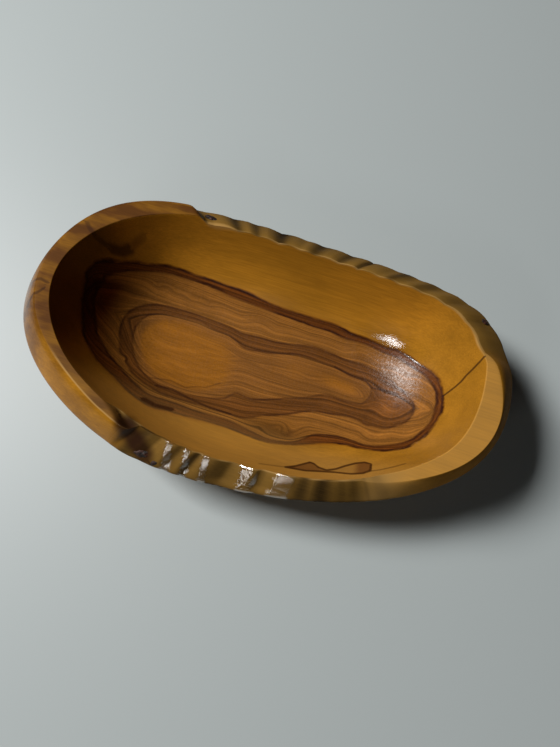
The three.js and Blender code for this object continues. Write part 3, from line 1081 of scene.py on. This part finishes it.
@dataclass(frozen=True)
class OldBark:
    """Olive bark, weathered and oiled over: black-brown, cracked and dull, with reddish inner bark."""

    crust: str = "#1B120C"
    inner: str = "#4A2516"
    lump: float = 1.6
    relief: float = 0.5
    ior: float = 1.45
    roughness: float = 0.6

    def material(self) -> bpy.types.Material:
        """Make the bark's material.

        Returns:
            The material, on Object coordinates.
        """
        made, tree, shader = new_material("olive_bark")
        add = partial(add_node, tree)
        lumps = add("TexNoise", (add("TexCoord", output="Object"), 1 / (self.lump * MM), 5.0, 0.65))
        tone = add("ValToRGB", (lumps,), stops=[(0.45, linear(self.crust)), (0.65, linear(self.inner))])
        bump = add("Bump", {"Height": lumps, "Strength": 0.8, "Distance": self.relief * MM})
        set_inputs(tree, shader, {
            "Base Color": tone, "Normal": bump, "IOR": self.ior, "Roughness": self.roughness,
        })
        return made


@dataclass(frozen=True)
class PaintedTop:
    """Pale painted table top: flat blue-grey paint with a faint sheen."""

    paint: str = "#B0B7B6"
    roughness: float = 0.5

    def material(self) -> bpy.types.Material:
        """Make the floor's material.

        Returns:
            The material.
        """
        made, tree, shader = new_material("pale_paint")
        set_inputs(tree, shader, {"Base Color": linear(self.paint), "Roughness": self.roughness})
        return made


@dataclass(frozen=True)
class WoodTones:
    """Where the wood is brighter, browner, paler or glossier, partly from painted light and shade; spans in
    plan mm.
    """

    log_depth: float = 6.0
    log_squash: float = 1.2
    log_taper: float = 0.25
    log_taper_from: float = 70.0
    heart_radius: float = 40.0
    ring_pitch: float = 5.0
    pitch_range: Span = (1.0, 25.0)
    sapwood_floor: float = -3.0
    left_shoulder: Span = (-40.0, -80.0)
    rear_shoulder: Span = (-48.0, -12.0)
    # Painted light on the right front shoulder
    lit_start: Span = (62.0, 76.0)
    lit_end: Span = (100.0, 82.0)
    lit_front: Span = (-25.0, -40.0)
    dull_right: Span = (40.0, 90.0)
    dull_rear: Span = (-10.0, 20.0)
    left_flat: Span = (-20.0, -50.0)
    # right_flat and rear_flat place a painted sheen on the right flat
    right_flat: Span = (40.0, 80.0)
    front_flat: Span = (-25.0, -45.0)
    rear_flat: Span = (-10.0, 20.0)
    # Painted shade at the hollow's left end, and painted light and sheen on its walls
    shaded_left_end: Span = (-84.0, -98.0)
    lit_front_wall: Span = (-24.0, -44.0)
    sheen_front: Span = (-26.0, -44.0)
    sheen_right: Span = (20.0, 60.0)
    lit_rear_wall: Span = (30.0, 44.0)
    lit_rear_wall_end: Span = (92.0, 75.0)
    lit_rear_wall_middle: float = 5.0
    lit_rear_wall_reach: float = 60.0
    streak: SoftPatch = SoftPatch((61.0, 35.247), 13.444, 4.486, -15.688)
    haze: SoftPatch = SoftPatch((64.0, 26.0), 20.203, 11.112, -45.0)
    shades: tuple[SoftPatch, ...] = (
        SoftPatch(WoodFigure.EYE, 5.0, 5.0, strength=0.7),
        SoftPatch((17.0, -31.0), 15.0, 4.5, strength=-0.5),
        SoftPatch((-45.0, -31.0), 28.0, 6.0, strength=-0.3),
    )

    def plain(self, place: np.ndarray) -> Layers:
        """Layers of plain sapwood.

        Args:
            place: Places of the zone.

        Returns:
            The layers by name.
        """
        values = {
            "figure": -2.0, "pitch": self.ring_pitch, "tone": 1.0, "brown": 0.0, "pale_and_sheen": 0.0, "oil": 0.0,
            "gloss": 0.1,
        }
        return {name: np.full(place.shape[:-1], value) for name, value in values.items()}

    def wall(self, place: np.ndarray) -> Layers:
        """Layers of the foot and the outer wall, with rings about the log's own middle.

        Args:
            place: Places of the zone.

        Returns:
            The layers by name.
        """
        x, y, z = place[..., 0], place[..., 1], place[..., 2]
        radius = np.hypot(y, self.log_squash * (z + self.log_depth))
        radius = radius + self.log_taper * np.maximum(np.abs(x) - self.log_taper_from, 0)
        return self.plain(place) | {"figure": (self.heart_radius - radius) / self.ring_pitch}

    def shoulder(self, place: np.ndarray) -> Layers:
        """Layers of the shoulders and the natural edges, with painted light on the right front shoulder.

        Args:
            place: Places of the zone.

        Returns:
            The layers by name.
        """
        x, y, skin = place[..., 0], place[..., 1], place[..., 3]
        left = smoothstep(x, *self.left_shoulder)
        rear_left = left * smoothstep(y, *self.rear_shoulder)
        # Painted light: the right front shoulder is made brighter and paler
        lit = smoothstep(x, *self.lit_start) * smoothstep(x, *self.lit_end) * smoothstep(y, *self.lit_front)
        dull = smoothstep(x, *self.dull_right) + smoothstep(y, *self.dull_rear) + 0.8 * skin
        return self.plain(place) | {
            "tone": 1 + 0.1 * left - 0.4 * rear_left + 0.8 * lit,
            "brown": 0.25 * left + 0.6 * rear_left,
            "pale_and_sheen": 0.45 * lit,
            "gloss": 0.2 - 0.18 * np.clip(dull, 0, 1),
        }

    def flat(self, place: np.ndarray) -> Layers:
        """Layers of the planed flats, with a painted sheen that makes the right flat brighter and paler.

        Args:
            place: Places of the zone.

        Returns:
            The layers by name.
        """
        x, y = place[..., 0], place[..., 1]
        left, right = smoothstep(x, *self.left_flat), smoothstep(x, *self.right_flat)
        front_left = left * smoothstep(y, *self.front_flat)
        # Painted sheen: the right flat brighter, most towards its front, and paler
        return self.plain(place) | {
            "tone": 1 - 0.25 * left + right * (0.4 - 0.15 * smoothstep(y, *self.rear_flat)),
            "brown": 0.85 * left - 0.05 * front_left,
            "pale_and_sheen": 0.4 * right + 0.1 * front_left,
            "gloss": np.full(x.shape, 0.05),
        }

    def hollow(self, place: np.ndarray, level: np.ndarray, pitch: np.ndarray) -> Layers:
        """Layers of the hollow, with painted shade at its left end, painted light on its front and rear
        walls and a painted sheen on its front wall.

        Args:
            place: Places of the zone.
            level: Ring levels there.
            pitch: Millimetres from one level to the next.

        Returns:
            The layers by name.
        """
        x, y = place[..., 0], place[..., 1]
        level = np.maximum(level, self.sapwood_floor)
        heart = smoothstep(level, -0.2, 0.2)
        streak = self.streak.at(place) * (1 - heart)
        # Painted light on the rear wall, stronger towards its ends
        rear = smoothstep(y, *self.lit_rear_wall) * smoothstep(x, *self.lit_rear_wall_end)
        away = np.clip(np.abs(x - self.lit_rear_wall_middle) / self.lit_rear_wall_reach, 0, 1)
        # Painted shade darkens the left end of the hollow
        tone = 1 - 0.5 * smoothstep(x, *self.shaded_left_end) + sum(shade.at(place) for shade in self.shades)
        return self.plain(place) | {
            "figure": level,
            "pitch": np.clip(pitch, *self.pitch_range),
            # Painted light brightens the front wall
            "tone": tone + 0.18 * smoothstep(y, *self.lit_front_wall) + rear * (0.1 + 0.35 * away),
            # Painted sheen makes the front wall paler, more to the right
            "pale_and_sheen": (0.25 + 0.1 * smoothstep(x, *self.sheen_right)) * smoothstep(y, *self.sheen_front),
            "oil": 0.7 * streak,
            "gloss": 0.15 - 0.08 * heart + 0.45 * streak + 0.5 * self.haze.at(place) * heart,
        }


@dataclass
class BowlBody:
    """The carved block, from the foot over the rim to the floor of the hollow, in millimetres."""

    shape: BowlShape
    skin: LogSkin
    tones: WoodTones
    finish: OliveWood
    around: int = 480
    crowding: float = 0.3
    wall_rows: float = 1.25
    hollow_rows: float = 1.1
    skin_set_back: float = 0.3
    rear_set_back: float = 0.9
    wall_set_back: Span = (0.75, 1.0)
    shoulder_set_back: Span = (1.0, 0.2)
    worn_rise: Span = (0.0, 0.4)
    corner_passes: int = 3
    corner_reach: int = 3
    soft_passes: int = 60
    soft_reach: int = 10
    soft_left: Span = (-30.0, -60.0)
    soft_left_rear: Span = (-45.0, -25.0)
    soft_right: Span = (80.0, 105.0)
    soft_right_rear: Span = (0.0, 20.0)
    soft_right_share: float = 0.7
    uneven: float = 0.2
    wave_along: Span = (13.0, 7.3)
    wave_across: Span = (9.0, 8.1)
    wave_bend: float = 11.0
    uneven_below: Span = (4.0, 16.0)
    edge_round: float = 1.0
    edge_round_share: float = 0.1
    lip_width: float = 0.5
    lip_swell: float = 3.0
    lip_swell_place: float = -41.0
    lip_swell_run: float = 8.0
    lip_breaks: Span = (3.1, 7.7)
    ridge_front: Span = (-30.0, -42.0)
    ridge_end: float = -43.0
    lines: tuple[GrowthLine, ...] = (
        GrowthLine(
            [(94, 10.7), (97.4, 15.3), (99, 18), (99.9, 20.6), (101.6, 23.9), (103.6, 28.5)], 0.45, 0.8,
        ),
        GrowthLine([(38, 14.7), (47, 12.8), (56.5, 12), (60.5, 9.2), (69, 9.8), (74, 9.4)], 0.6, 0.5),
        GrowthLine([(-49, -27.6), (-41, -26.4), (-30, -28.3), (-18, -29.5), (-7, -29.2)], 0.7, 0.6),
        GrowthLine([(-49, -38.3), (-43, -39.2), (-35, -38)], 1.4, 0.8),
        GrowthLine(
            [(-54, -24.4), (-44, -21.8), (-35, -22.8), (-30, -20.2), (-25, -19), (-18.5, -14)], 0.5, 0.35,
        ),
        GrowthLine([(-104, 34), (-97.4, 29.1), (-91.4, 29.3)], 1.2, 0.5),
        GrowthLine([(-91.4, 29.3), (-87.4, 31), (-84, 34)], 1.9, 0.75),
        GrowthLine([(-84, 34), (-81, 38), (-78, 41)], 1.4, 0.35),
        GrowthLine([(68, -38.9), (72.7, -36.7), (77.7, -33.8), (82, -31)], 0.4, 0.5),
        GrowthLine([(18, -51.5), (24, -50.3), (30, -49)], 0.4, 0.4),
        GrowthLine([(-45.5, -55.5), (-40, -60), (-34, -65)], 5.0, 0.85),
        GrowthLine([(-119, -4.8), (-113, -2), (-108, -2.5)], 0.8, 0.55),
        GrowthLine([(-115, -15.5), (-112, -10), (-108.5, -6)], 0.8, 0.6),
    )
    lens: tuple[Point, ...] = (
        (30, -49), (34.2, -46.8), (37.6, -44.2), (40.5, -42), (42.5, -42.2), (45, -43.6), (49, -44),
        (53, -42), (57, -38.8), (61.5, -35.8), (65.6, -34), (68.4, -34.4), (68.2, -38.5), (65, -41),
        (60, -42.8), (53, -44), (46, -45.8), (39.4, -47.7),
    )
    lens_waist: Span = (44.0, 52.0)
    lens_tip: Span = (60.0, 64.0)

    def turns(self) -> np.ndarray:
        """Section angles, spaced more evenly along the oval than even angles would be."""
        even = np.linspace(0, 360, self.around + 1)
        return even + np.degrees(self.crowding / 2 * np.sin(np.radians(2 * even)))

    def sections(self, turn: np.ndarray) -> dict[Zone, np.ndarray]:
        """Points of every section, zone by zone.

        Args:
            turn: Section angles.

        Returns:
            For each zone, places and the share of natural skin, by step and section angle.
        """
        shape = self.shape
        relief = self.skin.depth(shape.mouth.at(turn))
        lines = shape.rim_lines(turn, relief)
        out = lines.widest - lines.mouth
        out = out / np.linalg.norm(out, axis=-1, keepdims=True)
        set_back = np.where(turn < 180, self.rear_set_back, self.skin_set_back) * lines.worn

        share = np.linspace(0, 1, Zone.FOOT.value, endpoint=False)[:, None]
        foot = stack(shape.foot_plan(turn) * share[..., None], 0.0)

        share = 1 - (1 - np.linspace(0, 1, Zone.WALL.value, endpoint=False)[:, None]) ** self.wall_rows
        height = lines.edge * share ** shape.wall_power
        plan = shape.wall_plan(np.broadcast_to(turn, height.shape), height)
        back = set_back * smoothstep(share, *self.wall_set_back)
        wall = stack(plan - back[..., None] * out, height * (1 - self.edge_round / lines.edge))

        share = crowd(Zone.SHOULDER.value)[:-1, None]
        plan = lines.widest + (lines.ridge - lines.widest) * share[..., None]
        rise = 1 - (1 - share) ** shape.shoulder_power
        height = lines.edge + (lines.top - lines.edge) * rise
        height = height - lines.worn * smoothstep(share, *self.worn_rise)
        short = np.clip(1 - share / self.edge_round_share, 0, 1)
        height = height - self.edge_round * (1 - np.sqrt(1 - short ** 2))
        back = set_back * smoothstep(share, *self.shoulder_set_back)
        shoulder = stack(plan - back[..., None] * out, height, shape.skin_share(turn))

        share = crowd(Zone.FLAT.value)[:-1, None]
        plan = lines.ridge + (lines.mouth - lines.ridge) * share[..., None]
        local = turn + (shape.mouth_turn(turn) - turn) * share
        on_skin = shape.skin_share(local)
        flat = stack(plan, shape.mouth_height(local) - on_skin * relief, on_skin)

        share = 1 - (1 - np.linspace(1, 0, Zone.HOLLOW.value + 1)[:, None]) ** self.hollow_rows
        depth = lines.brim - shape.floor_thickness
        height = shape.floor_thickness + depth * share ** shape.hollow_power(turn)
        hollow = stack(shape.hollow_plan(np.broadcast_to(turn, height.shape), height), height)
        return dict(zip(Zone, (foot, wall, shoulder, flat, hollow)))

    def ease_corners(self, points: np.ndarray, corners: list[int], passes: int, reach: int) -> np.ndarray:
        """Round the sections' corners by averaging neighbours along them.

        Args:
            points: All points by step and section angle.
            corners: Steps at which the sections turn a corner.
            passes: How often to average.
            reach: Steps to each side of a corner.

        Returns:
            The eased points.
        """
        eased = points.copy()
        for _ in range(passes):
            for corner in corners:
                window = slice(corner - reach, corner + reach + 1)
                before = slice(corner - reach - 1, corner + reach)
                after = slice(corner - reach + 1, corner + reach + 2)
                eased[window] = (eased[before] + 2 * eased[window] + eased[after]) / 4
        return eased

    def carve(self, points: np.ndarray) -> np.ndarray:
        """The slight unevenness that hand carving leaves in the hollow.

        Args:
            points: Places in the hollow.

        Returns:
            The heights to add.
        """
        x, y = points[..., 0], points[..., 1]
        broad = np.sin(x / self.wave_along[0] + 0.6 * np.sin(y / self.wave_bend))
        broad = broad * np.sin(y / self.wave_across[0] + 0.4)
        return self.uneven * (broad + 0.6 * np.sin(x / self.wave_along[1] - y / self.wave_across[1]))

    def soften(self, points: np.ndarray, corners: list[int]) -> np.ndarray:
        """Round the corners, more so where the shoulders are worn, and leave the carver's unevenness.

        Args:
            points: All points by step and section angle.
            corners: Steps at which the sections turn a corner.

        Returns:
            The points as they are modelled.
        """
        x, y = points[corners[1], :, 0], points[corners[1], :, 1]
        left = smoothstep(x, *self.soft_left) * smoothstep(y, *self.soft_left_rear)
        right = smoothstep(x, *self.soft_right) * smoothstep(y, *self.soft_right_rear)
        soft = left + self.soft_right_share * right
        eased = self.ease_corners(points, corners, self.corner_passes, self.corner_reach)
        softer = self.ease_corners(eased, corners[1:2], self.soft_passes, self.soft_reach)
        shaped = eased + (softer - eased) * soft[None, :, None]
        hollow = shaped[corners[2] + 1:]
        fade = smoothstep(self.shape.height - hollow[..., 2], *self.uneven_below)
        hollow[..., 2] += self.carve(hollow) * fade
        return shaped

    def levels(self, zones: dict[Zone, np.ndarray]) -> Layers:
        """Ring level and pitch, brightness with painted light and shade, brown, pale-and-sheen and oily
        shares and gloss at every point.

        Args:
            zones: Points of each zone.

        Returns:
            One layer each, by step and section angle.
        """
        steps = np.linspace(0, 360, WoodFigure.SAPWOOD_STEPS, endpoint=False)
        figure = WoodFigure(self.shape.mouth_plan(steps))
        hollow = zones[Zone.HOLLOW]
        plan = hollow[..., :2].reshape(-1, 2)
        level = figure.level(plan)
        pitch = figure.pitch(plan, level)
        parts = [
            self.tones.wall(zones[Zone.FOOT]), self.tones.wall(zones[Zone.WALL]),
            self.tones.shoulder(zones[Zone.SHOULDER]), self.tones.flat(zones[Zone.FLAT]),
            self.tones.hollow(hollow, level.reshape(hollow.shape[:-1]), pitch.reshape(hollow.shape[:-1])),
        ]
        return {name: np.concatenate([part[name] for part in parts]) for name in parts[0]}

    def line_layers(self, zones: dict[Zone, np.ndarray]) -> Layers:
        """Distances to the nearest growth line, in its half widths, and its strength.

        Args:
            zones: Points of each zone.

        Returns:
            One layer for the signed distance, one for the plain distance and one for the strength.
        """
        points = np.concatenate(list(zones.values()))
        near = np.full(points.shape[:-1], np.inf)
        side = near.copy()
        dark = np.zeros(near.shape)
        for line in self.lines:
            gap, signed = nearest_line(points[..., :2], line.points)
            closer = gap / line.half_width < near
            near = np.where(closer, gap / line.half_width, near)
            side = np.where(closer, signed / line.half_width, side)
            dark = np.where(closer, line.strength, dark)
        dark[:len(zones[Zone.FOOT]) + len(zones[Zone.WALL])] = 0
        return {"line_side": np.clip(side, -6, 6), "line_near": np.clip(near, 0, 6), "line_dark": dark}

    def marks(self, points: np.ndarray, on_skin: np.ndarray, turn: np.ndarray, corners: list[int]) -> Layers:
        """The dark lens in the hollow, the pale lip with a painted highlight, a painted ridge glint, and the
        natural edges' stains, painted shade and glossy oil.

        Args:
            points: All points by step and section angle.
            on_skin: Share of natural skin at them.
            turn: Section angles.
            corners: Steps at which the sections turn a corner.

        Returns:
            One layer each, by step and section angle.
        """
        x, y = points[..., 0], points[..., 1]
        rear = y > 0
        carved = np.arange(len(points))[:, None] >= corners[2]
        outline, _ = nearest_line(points[..., :2], self.lens + self.lens[:1])
        inside = inside_outline(points[..., :2], self.lens) & carved
        fill = 0.75 - 0.55 * smoothstep(x, *self.lens_waist) + 0.6 * smoothstep(x, *self.lens_tip)
        lens = np.where(carved, np.where(inside, -outline, outline), np.inf)

        ridge_gap, brim_gap = (
            np.linalg.norm(points - points[corner], axis=-1) / self.lip_width for corner in corners[1:]
        )
        # Pale lip along the mouth of the natural edges: partly the raw eased edge, partly a painted
        # highlight
        swell = self.lip_swell * np.exp(-((x - self.lip_swell_place) / self.lip_swell_run) ** 2) * rear
        broken = 0.55 + 0.45 * np.sin(x / self.lip_breaks[0] + 2 * np.sin(x / self.lip_breaks[1]))
        on_brim = 0.6 * self.shape.skin_share(self.shape.mouth_turn(turn))
        lip_and_sheen = on_brim * np.clip(1.5 - brim_gap / (1 + swell), 0, 1)
        lip_and_sheen = lip_and_sheen * np.clip(np.maximum(broken, swell), 0, 1)
        # Painted highlight: a pale glint along the ridge of the left front flat
        glint_on_ridge = smoothstep(y, *self.ridge_front) * (x < self.ridge_end)
        lip_and_sheen = np.maximum(lip_and_sheen, 0.7 * glint_on_ridge * np.clip(1.3 - ridge_gap, 0, 1))

        across = np.zeros(x.shape)
        across[corners[0]:corners[1]] = np.linspace(1, 0, corners[1] - corners[0])[:, None]
        return {
            "skin": on_skin,
            "lens": np.clip(lens, -3, 3),
            "lens_fill": inside * fill,
            "lip_and_sheen": lip_and_sheen,
            "stain": self.skin.stain(self.shape.mouth.at(turn), x, across, rear),
            "varnish": on_skin * ~rear * self.skin.oil(x, across),
        }

    def build(self) -> bpy.types.Object:
        """Model the block and store what its finish reads.

        Returns:
            The finished object, riding on its body.
        """
        turn = self.turns()
        zones = self.sections(turn)
        whole = np.concatenate(list(zones.values()))
        points, on_skin = whole[..., :3], whole[..., 3]
        starts = dict(zip(zones, np.cumsum([0] + [len(rows) for rows in zones.values()])))
        corners = [int(starts[zone]) for zone in (Zone.SHOULDER, Zone.FLAT, Zone.HOLLOW)]
        stored = self.marks(points, on_skin, turn, corners) | self.levels(zones) | self.line_layers(zones)
        # Painted sheen and light from the pale share join the pale lip and its painted highlights
        stored["lip_and_sheen"] = np.maximum(stored["lip_and_sheen"], stored.pop("pale_and_sheen"))
        stored["varnish"] = np.maximum(stored["varnish"], stored.pop("oil"))
        points = self.soften(points, corners)

        mesh = bmesh.new()
        rings = len(points) - 1
        bmesh.ops.create_grid(mesh, x_segments=self.around, y_segments=rings, size=1.0)
        layers = {name: mesh.verts.layers.float.new(name) for name in stored}
        for vertex in mesh.verts:
            column = round((vertex.co.x + 1) / 2 * self.around)
            row = round((vertex.co.y + 1) / 2 * rings)
            for name, values in stored.items():
                vertex[layers[name]] = float(values[row, column])
            vertex.co = Vector(points[row, column]) * MM
        bmesh.ops.remove_doubles(mesh, verts=mesh.verts, dist=1e-7)
        return add_piece("carved_bowl", mesh, self.finish.material(), "bowl_body")


@dataclass
class BarkRemnant:
    """A remnant of bark on the log's skin, where the frame has its node."""

    node: str
    finish: bpy.types.Material
    fullness: float = 0.86
    roughness: float = 0.14
    lump: float = 1.7
    subdivisions: int = 5

    def build(self) -> bpy.types.Object:
        """Model a rough flake that fills its node's place.

        Returns:
            The finished object, riding on its body.
        """
        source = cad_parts[self.node].data
        corners = np.array([vertex.co for vertex in source.vertices])
        middle = corners.mean(axis=0)
        axes = np.linalg.svd(corners - middle, full_matrices=False)[2]
        reach = np.abs((corners - middle) @ axes.T).max(axis=0)
        mesh = bmesh.new()
        bmesh.ops.create_icosphere(mesh, subdivisions=self.subdivisions, radius=1.0)
        for vertex in mesh.verts:
            seat = Vector(middle + (np.array(vertex.co) * reach) @ axes)
            rough = noise.fractal(seat / (self.lump * MM), 0.9, 2.1, 4)
            vertex.co = Vector(middle) + (seat - Vector(middle)) * (self.fullness + self.roughness * rough)
        return add_piece(f"{self.node}_flake", mesh, self.finish, self.node)


@dataclass(frozen=True)
class SoftPanel:
    """A soft panel lamp that faces the bowl: metres, watts, and a roll about its own axis in degrees."""

    name: str
    towards: Triple
    distance: float
    size: Span
    power: float
    roll: float = 0.0

    def hang(self) -> None:
        """Hang the panel in the scene."""
        data = bpy.data.lights.new(self.name, "AREA")
        data.shape = "RECTANGLE"
        data.size, data.size_y = self.size
        data.energy = self.power
        lamp = bpy.data.objects.new(self.name, data)
        direction = Vector(self.towards).normalized()
        lamp.location = direction * self.distance
        turned = direction.to_track_quat("Z", "Y") @ Quaternion((0, 0, 1), np.radians(self.roll))
        lamp.rotation_euler = turned.to_euler()
        bpy.context.scene.collection.objects.link(lamp)


@dataclass
class Studio:
    """Camera, pale floor and soft light."""

    image_size: tuple[int, int] = (560, 747)
    focal_pixels: float = 560.0
    camera_place: Triple = (37.6, -79.45, 305.6)
    camera_right: Triple = (0.948, 0.317, 0.0)
    camera_forward: Triple = (-0.0883, 0.2642, -0.9604)
    sensor: float = 36.0
    nearest_seen: float = 0.01
    floor_size: float = 6.0
    panels: tuple[SoftPanel, ...] = (
        SoftPanel("left_window", (-0.655, 0.05, 0.755), 2.0, (0.58, 0.58), 46.5),
        SoftPanel("front_panel", (-0.25, -0.77, 0.58), 1.4, (0.48, 0.05), 1.15, -28.0),
    )
    world_colour: str = "#E4EAF0"
    world_strength: float = 0.003

    def camera(self) -> None:
        """Stand the camera where the photograph was taken from."""
        data = bpy.data.cameras.new("camera")
        data.sensor_width = self.sensor
        data.lens = self.sensor * self.focal_pixels / max(self.image_size)
        data.clip_start = self.nearest_seen
        right = Vector(self.camera_right).normalized()
        forward = Vector(self.camera_forward)
        forward = (forward - right * forward.dot(right)).normalized()
        turn = Matrix((right, right.cross(forward), -forward)).transposed().to_4x4()
        turn.translation = Vector(self.camera_place) * MM
        camera = bpy.data.objects.new("camera", data)
        camera.matrix_world = turn
        bpy.context.scene.collection.objects.link(camera)
        bpy.context.scene.camera = camera

    def floor(self) -> None:
        """Lay the pale floor under the foot."""
        mesh = bmesh.new()
        bmesh.ops.create_grid(mesh, x_segments=1, y_segments=1, size=self.floor_size / 2)
        data = bpy.data.meshes.new("floor")
        mesh.to_mesh(data)
        mesh.free()
        data.materials.append(PaintedTop().material())
        floor = bpy.data.objects.new("floor", data)
        bpy.context.scene.collection.objects.link(floor)

    def build(self) -> None:
        """Set up the whole studio."""
        self.camera()
        self.floor()
        for panel in self.panels:
            panel.hang()
        world = bpy.data.worlds.new("studio")
        world.use_nodes = True
        set_inputs(world.node_tree, world.node_tree.nodes["Background"], {
            "Color": linear(self.world_colour), "Strength": self.world_strength,
        })
        bpy.context.scene.world = world
        bpy.context.scene.view_settings.view_transform = "Standard"


def main() -> None:
    """Build the studio, the bowl and its bark, and log each piece's face count."""
    logging.basicConfig(level=logging.INFO, format="%(message)s")
    Studio().build()
    pieces = [BowlBody(BowlShape(), LogSkin(), WoodTones(), OliveWood()).build()]
    bark = OldBark().material()
    for node in ("bark_front_left", "bark_front_chip", "bark_rear_left", "bark_rear_right"):
        pieces.append(BarkRemnant(node, bark).build())
    for piece in pieces:
        log.info("%s: %d faces", piece.name, len(piece.data.polygons))


if __name__ == "__main__":
    main()
